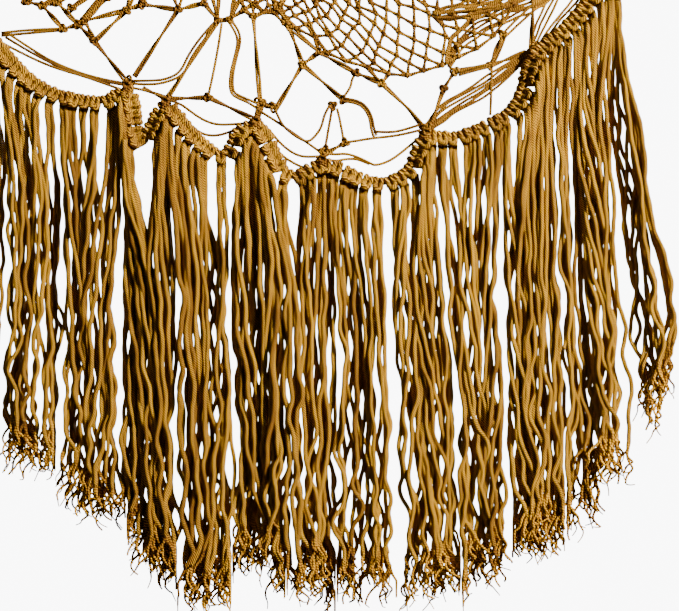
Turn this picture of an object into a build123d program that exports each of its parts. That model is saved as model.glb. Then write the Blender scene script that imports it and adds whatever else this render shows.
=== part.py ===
from build123d import *
import math
import os

# A knotted cotton dream catcher: an open hoop hangs from a cord loop, a limp header cord closes
# it below, a knotted twine web fills it, and a long fringe hangs from the header in sections.
# Row frame: +Z up, the front faces -Y, the origin is where a peg bears on the hanging eye.

# ---------------------------------------------------------------- driving dimensions, mm
HOOP_RADIUS = 256.0  # to the middle of the rod
HOOP_CORE_RADIUS = 3.0
HOOP_WRAP_RADIUS = 5.0
HOOP_END_ANGLE = -18.9  # each end of the open hoop, below the horizontal
WRAP_FIT = 0.05

EYE_CORD_RADIUS = 1.5
EYE_HALF_WIDTH = 9.5
EYE_FOOT_HALF_WIDTH = 2.6
EYE_FOOT_Z = -55.5
EYE_KNOT_RADIUS = 5.0
EYE_KNOT_Z = -60.5
EYE_KNOT_SINK = 0.4  # the turns on the hoop reach this far into the knot's underside
TURN_CLEARANCE = 0.3
TURN_HALF_GAP = 2.2

HEADER_CORD_RADIUS = 1.6
LOOP_CORD_RADIUS = 1.5  # each half of a lark's head, pulled tight round the header cord
LOOP_PITCH = 3.6
LOOP_FIT = 0.25
TIE_RADIUS = 6.0
TIE_LENGTH = 8.0
TIE_FIT = 1.8
TIE_TO_TWINE = 2.5
TIGHTEST_LOOP_BEND = 11.0
CORNER_SHARE = 0.45  # of the shorter straight run at a corner, taken by its rounding

TWINE_RADIUS = 0.85
WEB_KNOT_RADIUS = 3.2
WEB_KNOT_GAP = 0.15
WEB_STEPS = 20

STRAND_RADIUS = 2.0
STRAND_LAYER = 2.4  # each layer of strands stands this far from the header's plane
FRINGE_SECTIONS = 12
STRANDS_A_SECTION = 16
FRINGE_HALF_WIDTH = 236.0
SECTION_GAP = 4.8  # between the last strand of one section and the first of the next
STRAND_TOP_GAP = 1.6
STRAND_SIDE_GAP = 0.6  # between a strand and a tie that it passes
LASHING_REACH = 10.0  # strands this near the ends of the fringe start below the lashings
FOOT_MARGIN = 2.3  # the end strands hang this far inside their section's foot

LASHING_RADIUS = 7.4
LASHING_LENGTH = 18.0
LASHING_FIT = 0.25
LASHING_INSET = 0.4  # degrees in from the end of the hoop

TURN_RADIUS = HOOP_WRAP_RADIUS + TURN_CLEARANCE + EYE_CORD_RADIUS
HOOP_TOP_Z = EYE_KNOT_Z - EYE_KNOT_RADIUS - TURN_RADIUS - EYE_CORD_RADIUS + EYE_KNOT_SINK
CENTRE_Z = HOOP_TOP_Z - HOOP_RADIUS

# The header's route, (x, z) from the hoop's centre: it sags between the ties, in two deep folds.
HEADER_ROUTE = [
    (-244, -86),
    (-226, -128),
    (-200, -159),
    (-180, -181),
    (-156, -191),
    (-126, -195),
    (-116, -186),
    (-107, -185),
    (-104, -222),
    (-98, -223),
    (-87, -197),
    (-79, -197),
    (-66, -215),
    (-50, -230),
    (-38, -235),
    (-30, -215),
    (-22, -211),
    (-12, -212),
    (1, -243),
    (11, -251),
    (26, -240),
    (38, -239),
    (64, -253),
    (82, -253),
    (97, -243),
    (103, -222),
    (112, -218),
    (128, -221),
    (150, -212),
    (168, -203),
    (178, -188),
    (182, -165),
    (190, -155),
    (207, -142),
    (220, -128),
    (231, -113),
    (244, -86),
]
# Where the web is tied down to the header.
TIES = {
    "tie_edge": (-213, -143),
    "tie_left": (-111, -185),
    "tie_fold": (-83, -197),
    "tie_middle": (-17, -211),
    "tie_low": (32, -239),
    "tie_right": (107, -220),
    "tie_far": (185, -160),
}

# Lower knots of the web, (x, z) from the hoop's centre.
LOWER_KNOTS = {
    "left_far": (-214, -92),
    "left_low": (-158, -140),
    "left_mid": (-137, -149),
    "left_top": (-139, -128),
    "row_1": (-111, -125),
    "row_2": (-76, -127),
    "row_3": (-46, -136),
    "row_4": (-18, -131),
    "row_5": (4, -134),
    "mid_1": (17, -166),
    "mid_2": (39, -196),
    "mid_3": (48, -222),
    "mid_4": (57, -172),
    "mid_5": (76, -180),
    "right_1": (120, -184),
    "right_2": (129, -167),
    "right_3": (154, -166),
    "right_4": (166, -145),
    "right_5": (186, -106),
}
LOWER_RUNS = [
    ("hitch_left", "left_far"),
    ("outer_left", "left_far"),
    ("left_far", "tie_edge"),
    ("tie_edge", "left_low"),
    ("outer_left", "left_low"),
    ("left_low", "left_mid"),
    ("left_low", "left_top"),
    ("left_mid", "tie_left"),
    ("left_mid", "row_1"),
    ("left_top", "row_1"),
    ("row_1", "row_2"),
    ("row_2", "tie_left"),
    ("row_2", "row_3"),
    ("row_3", "tie_fold"),
    ("row_3", "row_4"),
    ("row_4", "tie_middle"),
    ("row_4", "row_5"),
    ("row_5", "mid_1"),
    ("mid_1", "tie_middle"),
    ("mid_1", "mid_2"),
    ("mid_1", "mid_4"),
    ("mid_2", "mid_3"),
    ("mid_2", "mid_4"),
    ("mid_2", "tie_low"),
    ("mid_3", "tie_low"),
    ("mid_4", "mid_5"),
    ("mid_5", "tie_right"),
    ("mid_5", "right_1"),
    ("right_1", "tie_right"),
    ("right_1", "right_2"),
    ("right_2", "right_3"),
    ("right_3", "right_1"),
    ("right_3", "tie_far"),
    ("right_3", "right_4"),
    ("right_4", "tie_far"),
    ("tie_far", "right_5"),
    ("right_4", "outer_right"),
    ("right_5", "outer_right"),
    ("right_5", "hitch_right"),
    ("net_12", "left_low"),
    ("net_12", "left_top"),
    ("net_13", "row_1"),
    ("net_13", "row_2"),
    ("net_14", "row_2"),
    ("net_14", "row_3"),
    ("net_15", "row_4"),
    ("net_15", "row_5"),
    ("net_16", "mid_1"),
    ("net_16", "mid_4"),
    ("net_17", "mid_5"),
    ("net_17", "right_1"),
    ("net_18", "right_2"),
    ("net_18", "right_4"),
]

# Fringe: where each section's strand ends hang, (left x, right x, left z, right z).
FRINGE_FEET = [
    (-246, -206, -415, -445),
    (-202, -162, -452, -462),
    (-158, -118, -486, -498),
    (-113, -74, -505, -548),
    (-70, -32, -556, -552),
    (-30, 5, -530, -540),
    (6, 42, -545, -556),
    (43, 79, -558, -548),
    (95, 131, -545, -548),
    (133, 167, -546, -530),
    (169, 209, -526, -504),
    (211, 288, -498, -402),
]

HUB_RADIUS = 17.6
HUB_CORD_RADIUS = 1.0
INNER_RINGS = [22.0, 50.0, 82.0, 116.0]
OUTER_RINGS = [160.0, 205.0]
HITCH_RING = HOOP_RADIUS - HOOP_WRAP_RADIUS - 2.6
HITCH_THICKNESS = 2.2
HITCH_WIDTH = 3.4
UPPER_FROM, UPPER_TO = -14.0, 194.0  # degrees of the hoop that the upper web is tied to


# ---------------------------------------------------------------- helpers
def spot(x, z, y=0.0):
    """A point given from the hoop's centre, in the row frame."""
    return Vector(x, y, z + CENTRE_Z)


def polar(radius, degrees):
    """(x, z) from the hoop's centre."""
    angle = math.radians(degrees)
    return radius * math.cos(angle), radius * math.sin(angle)


def rod(start, end, radius, gap=0.0):
    """A straight round rod between two points, short of each by gap."""
    span = end - start
    along = span.normalized()
    return Plane(start + along * gap, z_dir=along) * Cylinder(
        radius, span.length - 2 * gap, align=(Align.CENTER, Align.CENTER, Align.MIN)
    )


def tube(path, radius):
    """A round cord along a path."""
    return sweep(Plane(path @ 0, z_dir=path % 0) * Circle(radius), path=path)


def rounded(points):
    """One smooth line through straight runs, with the corner radii as large as the runs allow."""
    radii = []
    for before, corner, after in zip(points, points[1:], points[2:]):
        first, second = corner - before, after - corner
        half_turn = math.radians(first.get_angle(second)) / 2
        radii.append(CORNER_SHARE * min(first.length, second.length) / math.tan(half_turn))
    print("corner radii", [round(r, 1) for r in radii])
    return FilletPolyline(*points, radius=radii)


def save(name, solids):
    """One STEP file for one node."""
    export_step(Compound(label=name, children=list(solids)), f"parts/{name}.step")
    print(name, len(solids))


# ---------------------------------------------------------------- hanging loop
def hanger():
    foot, top, middle = EYE_FOOT_HALF_WIDTH, EYE_CORD_RADIUS, EYE_HALF_WIDTH
    eye = rounded(
        [
            Vector(-foot, 0, EYE_FOOT_Z),
            Vector(-middle, 0, top),
            Vector(middle, 0, top),
            Vector(foot, 0, EYE_FOOT_Z),
        ]
    )
    loop = tube(eye, EYE_CORD_RADIUS)
    turn = Torus(TURN_RADIUS, EYE_CORD_RADIUS)
    turns = [
        Pos(side * TURN_HALF_GAP, 0, HOOP_TOP_Z) * Rot(0, 90, 0) * turn for side in (-1, 1)
    ]
    save("hanging_loop", [loop])
    save("hanging_turns", turns)
    save("hanging_knot", [Pos(0, 0, EYE_KNOT_Z) * Sphere(EYE_KNOT_RADIUS)])


# ---------------------------------------------------------------- hoop
def hoop_arc():
    """The hoop's middle line, from its right end over the top to its left end."""
    x, z = polar(HOOP_RADIUS, HOOP_END_ANGLE)
    return ThreePointArc(spot(x, z), spot(0, HOOP_RADIUS), spot(-x, z))


def hoop():
    arc = hoop_arc()
    save("hoop_core", [tube(arc, HOOP_CORE_RADIUS)])
    wrap = sweep(
        Plane(arc @ 0, z_dir=arc % 0)
        * (Circle(HOOP_WRAP_RADIUS) - Circle(HOOP_CORE_RADIUS + WRAP_FIT)),
        path=arc,
    )
    save("hoop_wrap", [wrap])
    lashing = Cylinder(LASHING_RADIUS, LASHING_LENGTH) - Cylinder(
        HOOP_WRAP_RADIUS + LASHING_FIT, LASHING_LENGTH
    )
    half_turn = math.degrees(LASHING_LENGTH / 2 / HOOP_RADIUS)
    for name, side in (("right", 1), ("left", -1)):
        x, z = polar(HOOP_RADIUS, HOOP_END_ANGLE + half_turn + LASHING_INSET)
        tangent = Vector(-z * side, 0, x)
        save(f"hoop_lashing_{name}", [Plane(spot(side * x, z), z_dir=tangent) * lashing])


# ---------------------------------------------------------------- header
def header():
    """The header cord with its knots and ties. Returns points along it, and where the ties sit."""
    route = rounded([spot(x, z) for x, z in HEADER_ROUTE])
    save("header_cord", [tube(route, HEADER_CORD_RADIUS)])
    print("header length", round(route.length, 1))

    loop = Torus(HEADER_CORD_RADIUS + LOOP_FIT + LOOP_CORD_RADIUS, LOOP_CORD_RADIUS)
    tie = Cylinder(TIE_RADIUS, TIE_LENGTH) - Cylinder(HEADER_CORD_RADIUS + TIE_FIT, TIE_LENGTH)

    count = int(route.length / LOOP_PITCH)
    stations = []
    for i in range(count):
        share = (i + 0.5) / count
        stations.append((route @ share, route % share))
    tie_spots = {}
    for name, (x, z) in TIES.items():
        tie_spots[name] = min(stations, key=lambda station: (station[0] - spot(x, z)).length)
    save("header_ties", [Plane(p, z_dir=t) * tie for p, t in tie_spots.values()])

    clear_of_tie = TIE_LENGTH / 2 + LOOP_CORD_RADIUS + TIE_RADIUS / 2
    width = 2 * FRINGE_HALF_WIDTH / FRINGE_SECTIONS
    sections = [[] for _ in range(FRINGE_SECTIONS)]
    for (p, t), (_, t_after) in zip(stations[2:-2], stations[3:-1]):
        bend = math.radians(t.get_angle(t_after))
        if bend > LOOP_PITCH / TIGHTEST_LOOP_BEND:
            continue
        if any((p - tie_spot).length < clear_of_tie for tie_spot, _ in tie_spots.values()):
            continue
        index = int((p.X + FRINGE_HALF_WIDTH) / width)
        sections[max(0, min(FRINGE_SECTIONS - 1, index))].append(Plane(p, z_dir=t) * loop)
    for index, loops in enumerate(sections, 1):
        save(f"header_knots_{index:02d}", loops)
    return [p for p, _ in stations], {name: p for name, (p, _) in tie_spots.items()}


# ---------------------------------------------------------------- fringe
def fringe(header_points):
    reach = TIE_RADIUS + STRAND_RADIUS + STRAND_SIDE_GAP
    width = 2 * FRINGE_HALF_WIDTH / FRINGE_SECTIONS
    pitch = (width - SECTION_GAP) / (STRANDS_A_SECTION - 1)
    lashing_foot = polar(HOOP_RADIUS, HOOP_END_ANGLE)[1] - LASHING_RADIUS
    for section in range(FRINGE_SECTIONS):
        left_x, right_x, left_z, right_z = FRINGE_FEET[section]
        strands, tops = [], []
        for i in range(STRANDS_A_SECTION):
            x = -FRINGE_HALF_WIDTH + section * width + SECTION_GAP / 2 + i * pitch
            low = min(p.Z for p in header_points if abs(p.X - x) < reach)
            if abs(x) > FRINGE_HALF_WIDTH - LASHING_REACH:
                low = min(low, lashing_foot + CENTRE_Z)
            top = low - TIE_RADIUS - STRAND_TOP_GAP
            layer = STRAND_LAYER if i % 2 else -STRAND_LAYER
            share = i / (STRANDS_A_SECTION - 1)
            foot_x = left_x + FOOT_MARGIN + (right_x - left_x - 2 * FOOT_MARGIN) * share
            end = spot(foot_x, left_z + (right_z - left_z) * share, layer)
            strands.append(rod(Vector(x, layer, top), end, STRAND_RADIUS))
            tops.append(top)
        save(f"fringe_{section + 1:02d}", strands)
        high = max(tops) + TIE_RADIUS + STRAND_TOP_GAP
        print(f"pivot {section + 1} x {-FRINGE_HALF_WIDTH + (section + 0.5) * width:.1f} z {high:.1f}")


# ---------------------------------------------------------------- web
def ring_knots(level, radius):
    """The knots of one round of the web: every other round, from the first, is half a step on."""
    step = 360 / WEB_STEPS
    half = 0.5 * (1 - level % 2)
    return [polar(radius, (i + half) * step) for i in range(WEB_STEPS)]


def is_upper(knot):
    degrees = math.degrees(math.atan2(knot[1], knot[0]))
    if degrees < -90:
        degrees += 360
    return UPPER_FROM < degrees < UPPER_TO


def twine(first, second):
    return rod(spot(*first), spot(*second), TWINE_RADIUS, WEB_KNOT_RADIUS + WEB_KNOT_GAP)


def knot_ball(knot):
    return Pos(*spot(*knot)) * Sphere(WEB_KNOT_RADIUS)


def zigzag(level, inner, outer, keep=lambda knot: True):
    """The runs from each inner knot out to its two neighbours on the next round."""
    runs = []
    for i, knot in enumerate(inner):
        for j in (i, i + 1 - 2 * (level % 2)):
            beyond = outer[j % WEB_STEPS]
            if keep(beyond) and keep(knot):
                runs.append(twine(knot, beyond))
    return runs


def web(ties):
    rings = [ring_knots(i, r) for i, r in enumerate(INNER_RINGS + OUTER_RINGS + [HITCH_RING])]
    save("web_hub", [Plane(spot(0, 0), z_dir=(0, 1, 0)) * Torus(HUB_RADIUS, HUB_CORD_RADIUS)])
    for level in range(3):
        save(f"web_round_{level + 1}", zigzag(level, rings[level], rings[level + 1]))
    for level in range(3, 6):
        save(
            f"web_round_{level + 1}",
            zigzag(level, rings[level], rings[level + 1], is_upper),
        )
    save("web_knots_inner", [knot_ball(k) for ring in rings[:4] for k in ring])
    save("web_knots_outer", [knot_ball(k) for ring in rings[4:6] for k in ring if is_upper(k)])
    hitches = []
    hitch = Cylinder(HOOP_WRAP_RADIUS + HITCH_THICKNESS, HITCH_WIDTH) - Cylinder(
        HOOP_WRAP_RADIUS + WRAP_FIT, HITCH_WIDTH
    )
    for x, z in rings[6]:
        if is_upper((x, z)):
            far = HOOP_RADIUS / HITCH_RING
            hitches.append(Plane(spot(x * far, z * far), z_dir=Vector(-z, 0, x)) * hitch)
    save("web_hitches", hitches)

    places = {name: spot(*knot) for name, knot in LOWER_KNOTS.items()}
    places.update(ties)
    places.update({f"net_{i}": spot(*knot) for i, knot in enumerate(rings[3])})
    for name, ring in (("outer", rings[4]), ("hitch", rings[6])):
        places[f"{name}_right"] = spot(*ring[-1])
        places[f"{name}_left"] = spot(*ring[WEB_STEPS // 2])
    lower = []
    for a, b in LOWER_RUNS:
        start, end = places[a], places[b]
        along = (end - start).normalized()
        gaps = [
            TIE_RADIUS + TIE_TO_TWINE if name.startswith("tie") else WEB_KNOT_RADIUS + WEB_KNOT_GAP
            for name in (a, b)
        ]
        lower.append(rod(start + along * gaps[0], end - along * gaps[1], TWINE_RADIUS))
    save("web_lower_runs", lower)
    save("web_knots_lower", [knot_ball(k) for k in LOWER_KNOTS.values()])


os.makedirs("parts", exist_ok=True)
hanger()
hoop()
header_points, tie_points = header()
fringe(header_points)
web(tie_points)
print("hoop top", HOOP_TOP_Z, "centre", CENTRE_Z)
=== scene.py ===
import math

import bpy
import numpy as np
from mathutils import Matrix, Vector


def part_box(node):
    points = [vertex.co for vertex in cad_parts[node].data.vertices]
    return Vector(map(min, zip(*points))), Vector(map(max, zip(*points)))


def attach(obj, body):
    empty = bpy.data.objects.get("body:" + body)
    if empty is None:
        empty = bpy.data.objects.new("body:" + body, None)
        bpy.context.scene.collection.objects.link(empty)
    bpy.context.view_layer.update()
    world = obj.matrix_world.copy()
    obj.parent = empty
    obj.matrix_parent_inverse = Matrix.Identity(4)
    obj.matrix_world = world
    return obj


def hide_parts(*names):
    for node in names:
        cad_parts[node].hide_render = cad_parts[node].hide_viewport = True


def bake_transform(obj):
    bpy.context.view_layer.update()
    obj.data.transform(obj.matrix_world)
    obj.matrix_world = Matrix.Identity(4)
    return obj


# A knotted cotton dream catcher. Places are (x, z) in millimetres from the hoop's centre, as in the
# CAD, and at() turns them into metres in the row frame. Other lengths are millimetres too.

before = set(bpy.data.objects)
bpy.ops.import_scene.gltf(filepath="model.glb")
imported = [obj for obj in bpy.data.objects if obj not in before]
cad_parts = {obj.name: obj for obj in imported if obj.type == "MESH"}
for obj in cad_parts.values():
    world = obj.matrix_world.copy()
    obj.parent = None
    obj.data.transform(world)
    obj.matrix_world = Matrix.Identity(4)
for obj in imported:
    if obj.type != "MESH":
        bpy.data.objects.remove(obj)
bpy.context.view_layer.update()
rng = np.random.default_rng(11)

MM = 0.001
HOOP_RADIUS = 256.0
HOOP_WRAP_RADIUS = 5.0
HOOP_END_ANGLE = -18.9
CENTRE_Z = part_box("hoop_wrap")[1][2] / MM - HOOP_WRAP_RADIUS - HOOP_RADIUS

STRAND_RADIUS = 1.75
STRAND_LAY = 9.0  # along the cord, for one turn of its plies
STRAND_STEPS = 34  # points of a strand's route below its knot
STRAND_POINT_STEP = 2.4
TWINE_RADIUS = 1.1
HEADER_CORD_RADIUS = 1.3
HEADER_POINT_STEP = 0.5
KNOT_RADIUS = 2.05
INNER_KNOT_RADIUS = 1.7  # the second folded cord of a knot, inside the turns of the first
INNER_KNOT_SQUEEZE = 0.35  # its width along the header, as a share of the first's
INNER_TAIL_BACK = 1.9
KNOT_PITCH = 7.9
KNOT_STRAY = 0.12  # share of the pitch that a knot may sit off its even place
KNOT_LEAN = 0.13
KNOT_SIZES = (1.02, 1.16)
STEEP_KNOT_GROWTH = 0.14

FRONT_BUNCHES = [(-72, 24), (4, 19)]  # (x, half width) of the bunches in front of the rest
FRONT_PUSH = 8.0
FRONT_THICKENING = 0.03  # more radius for a strand, for each mm that it hangs further forward
STRAND_REACH = 15.5  # the furthest a strand hangs from the header's plane
END_REACH = 17.0
CLUMP_SIZES = (2, 9)
FOOT_STRAY = 0.07  # share of the section's width
FOOT_INSET = 2
BACK_LAYER, FRONT_LAYER = 3.6, -3.2
KNOT_DROP = 3.5  # from a tail's end to the first free point of its strand
GATHER_SHARE = 0.34  # share of a strand's length over which it joins its clump
FOOT_EASE = 0.8
MIDDLE_TONE = 0.42
EDGE_SWAY = 5.5
EDGE_ROUGHNESS = 0.5
OUTER_ROOM = 4  # beyond the first and last feet
EDGE_CLEARANCE = 0.2
EDGE_SLACK = 7  # how far the knots' own tails may cross an edge
EDGE_SHARE = 0.24  # share of a strand's length over which that slack goes
EASE_FROM = 0.94  # share of a section's half width from which a strand is held back from its edge
DECLARED = (3, 11, 18)  # the strands of each section that are pieces of their own

PLIES = 3
PLY_REACHES = (12, 30)
PLY_WAVES = (11, 22)
PLY_CURLS = (1.2, 3.8)
PLY_WIDTHS = (1.2, 0.75)
YARN_WIDTHS = (0.6, 0.42)

# Half of a lark's head, from its tail round the header to the middle of its bar: along, up and back.
HALF_KNOT = [
    (1.8, -6.4, -1.8),
    (1.5, -4.6, 0.2),
    (1.4, -2.6, 2.2),
    (1.6, 0.2, 3.5),
    (1.8, 2.6, 2.0),
    (1.9, 3.4, -1.0),
    (2.0, 2.4, -4.4),
    (1.9, -0.5, -3.3),
    (2.2, -2.6, -5.4),
    (1.5, -4.1, -6.6),
    (0.4, -4.3, -6.8),
]
SECTIONS = 12
FRINGE_HALF_WIDTH = 236.0
HEADER_REACH = 243.0
SECTION_WIDTH = 2 * FRINGE_HALF_WIDTH / SECTIONS

# The header's route, (x, z) from the hoop's centre: it sags between the ties, in two deep folds.
HEADER_ROUTE = [
    (-244, -86),
    (-226, -128),
    (-200, -159),
    (-180, -181),
    (-156, -191),
    (-126, -195),
    (-116, -186),
    (-107, -185),
    (-104, -222),
    (-98, -223),
    (-87, -197),
    (-79, -197),
    (-66, -215),
    (-50, -230),
    (-38, -235),
    (-30, -215),
    (-22, -211),
    (-12, -212),
    (1, -243),
    (11, -251),
    (26, -240),
    (38, -239),
    (64, -253),
    (82, -253),
    (97, -243),
    (103, -222),
    (112, -218),
    (128, -221),
    (150, -212),
    (168, -203),
    (178, -188),
    (182, -165),
    (190, -155),
    (207, -142),
    (220, -128),
    (231, -113),
    (244, -86),
]

# Where each section of strands ends, (left x, right x, left z, right z).
FRINGE_FEET = [
    (-246, -206, -415, -445),
    (-202, -162, -452, -462),
    (-158, -118, -486, -498),
    (-113, -74, -505, -548),
    (-70, -32, -556, -552),
    (-30, 5, -530, -540),
    (6, 42, -545, -556),
    (43, 79, -558, -548),
    (95, 131, -545, -548),
    (133, 167, -546, -530),
    (169, 209, -526, -504),
    (211, 288, -498, -402),
]


# ---------------------------------------------------------------- places and lines
def at(x, z, y=0.0):
    """A point given from the hoop's centre in mm, in the row frame in metres."""
    return np.array([x, y, z + CENTRE_Z]) * MM


def polar(radius, degrees):
    angle = math.radians(degrees)
    return radius * math.cos(angle), radius * math.sin(angle)


def between(table, x):
    """The second column of a table, read between its rows at x in the first."""
    return float(np.interp(x, [row[0] for row in table], [row[1] for row in table]))


def smooth_all(routes, resolution=10):
    """The smooth line of each route, read from a NURBS spline that has its points as control points."""
    curve = bpy.data.curves.new("routes", "CURVE")
    curve.dimensions = "3D"
    curve.resolution_u = resolution
    for route in routes:
        spline = curve.splines.new("NURBS")
        spline.points.add(len(route) - 1)
        for point, place in zip(spline.points, route):
            point.co = (*place, 1.0)
        spline.order_u = 3
        spline.use_endpoint_u = True
        spline.resolution_u = resolution
    holder = bpy.data.objects.new("routes", curve)
    mesh = bpy.data.meshes.new_from_object(holder)
    places = np.empty(len(mesh.vertices) * 3)
    mesh.vertices.foreach_get("co", places)
    places = places.reshape(-1, 3)
    joined = np.zeros(len(places), bool)
    for edge in mesh.edges:
        joined[max(edge.vertices)] = True
    starts = np.flatnonzero(~joined)
    lines = np.split(places, starts[1:])
    bpy.data.meshes.remove(mesh)
    bpy.data.objects.remove(holder)
    bpy.data.curves.remove(curve)
    return lines


def lengths_along(line):
    steps = np.linalg.norm(np.diff(line, axis=0), axis=1)
    return np.concatenate([[0.0], np.cumsum(steps)])


def even(line, step):
    """The same line with its points an even step apart, in metres."""
    along = lengths_along(line)
    count = max(2, int(round(along[-1] / step)) + 1)
    places = np.linspace(0, along[-1], count)
    return np.stack([np.interp(places, along, line[:, k]) for k in range(3)], axis=1)


def unit(rows):
    return rows / np.maximum(np.linalg.norm(rows, axis=-1, keepdims=True), 1e-12)


def hand_over(piece, body, slot, *replaced):
    """The piece rides on a body and stands for CAD nodes. The slot is not used."""
    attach(piece, body)
    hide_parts(*replaced)


# ---------------------------------------------------------------- cords as meshes
class Skein:
    """Cords gathered into one mesh. Each is a tube laid with plies, and carries a tone, which for the
    fringe's strands holds painted side shade as well.
    """

    def __init__(self):
        self.verts, self.faces, self.maps, self.tones, self.ends = [], [], [], [], []
        self.total = 0

    def add(self, line, radius, sides=8, across=(1, 0, 0), tone=0.5, plies=0, depth=0.1):
        """A tube along a line in metres, its radius in mm, grooved to depth between its plies."""
        line = np.asarray(line)
        rings = len(line)
        tangent = unit(np.gradient(line, axis=0))
        side = unit(np.cross(tangent, across))
        other = np.cross(side, tangent)
        along = lengths_along(line)
        angle = np.arange(sides) * 2 * math.pi / sides
        shape = np.ones((rings, sides))
        if plies:
            turn = 2 * math.pi * along / (STRAND_LAY * MM)
            shape += depth * np.abs(np.cos(plies / 2 * (angle[None, :] - turn[:, None]))) - depth
        size = (np.broadcast_to(np.asarray(radius) * MM, (rings,))[:, None] * shape)[:, :, None]
        ring = size * (
            np.cos(angle)[None, :, None] * side[:, None, :]
            + np.sin(angle)[None, :, None] * other[:, None, :]
        )
        self.verts.append((line[:, None, :] + ring).reshape(-1, 3))
        i = np.arange(rings - 1)[:, None] * sides
        j = np.arange(sides)[None, :]
        k = (j + 1) % sides
        quads = np.stack([i + j, i + k, i + sides + k, i + sides + j], axis=-1).reshape(-1, 4)
        self.faces.append(quads + self.total)
        u = np.broadcast_to(j / sides, (rings - 1, sides))
        u_next = np.broadcast_to((j + 1) / sides, (rings - 1, sides))
        v = np.broadcast_to(along[:-1, None] / MM, (rings - 1, sides))
        v_next = np.broadcast_to(along[1:, None] / MM, (rings - 1, sides))
        corners = [(u, v), (u_next, v), (u_next, v_next), (u, v_next)]
        self.maps.append(np.stack([np.stack(c, axis=-1) for c in corners], axis=2).reshape(-1, 2))
        self.tones.append(np.full(rings * sides, tone))
        last = self.total + (rings - 1) * sides
        self.ends.append(list(range(self.total + sides - 1, self.total - 1, -1)))
        self.ends.append(list(range(last, last + sides)))
        self.total += rings * sides

    def build(self, name, material):
        """One piece with all the cords: the tubes' sides have a map, their ends have none."""
        verts = np.concatenate(self.verts)
        quads = np.concatenate(self.faces)
        corners = np.concatenate([quads.ravel(), np.concatenate(self.ends)]).astype(np.int32)
        sizes = np.array([4] * len(quads) + [len(e) for e in self.ends], np.int32)
        firsts = np.concatenate([[0], np.cumsum(sizes)[:-1]]).astype(np.int32)
        mesh = bpy.data.meshes.new(name)
        mesh.vertices.add(len(verts))
        mesh.vertices.foreach_set("co", verts.astype(np.float32).ravel())
        mesh.loops.add(len(corners))
        mesh.loops.foreach_set("vertex_index", corners)
        mesh.polygons.add(len(sizes))
        mesh.polygons.foreach_set("loop_start", firsts)
        mesh.update(calc_edges=True)
        mesh.validate()
        layer = mesh.uv_layers.new(name="lay")
        maps = np.zeros((len(corners), 2), np.float32)
        flat = np.concatenate(self.maps)
        maps[: len(flat)] = flat
        layer.data.foreach_set("uv", maps.ravel())
        tone = mesh.attributes.new("tone", "FLOAT", "POINT")
        tone.data.foreach_set("value", np.concatenate(self.tones).astype(np.float32))
        mesh.polygons.foreach_set("use_smooth", np.ones(len(sizes), bool))
        mesh.materials.append(material)
        piece = bpy.data.objects.new(name, mesh)
        bpy.context.scene.collection.objects.link(piece)
        return piece


# ---------------------------------------------------------------- materials
class Nodes:
    """Short forms for building a material's nodes."""

    def __init__(self, name):
        self.material = bpy.data.materials.new(name)
        self.material.use_nodes = True
        self.tree = self.material.node_tree
        self.shader = self.tree.nodes["Principled BSDF"]

    def node(self, kind, **values):
        made = self.tree.nodes.new(kind)
        for key, value in values.items():
            setattr(made, key, value)
        return made

    def link(self, source, target):
        self.tree.links.new(source, target)

    def math(self, operation, first, second=0.0, third=0.0):
        made = self.node("ShaderNodeMath", operation=operation)
        for socket, value in zip(made.inputs, (first, second, third)):
            if isinstance(value, (int, float)):
                socket.default_value = value
            else:
                self.link(value, socket)
        return made.outputs[0]


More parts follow.
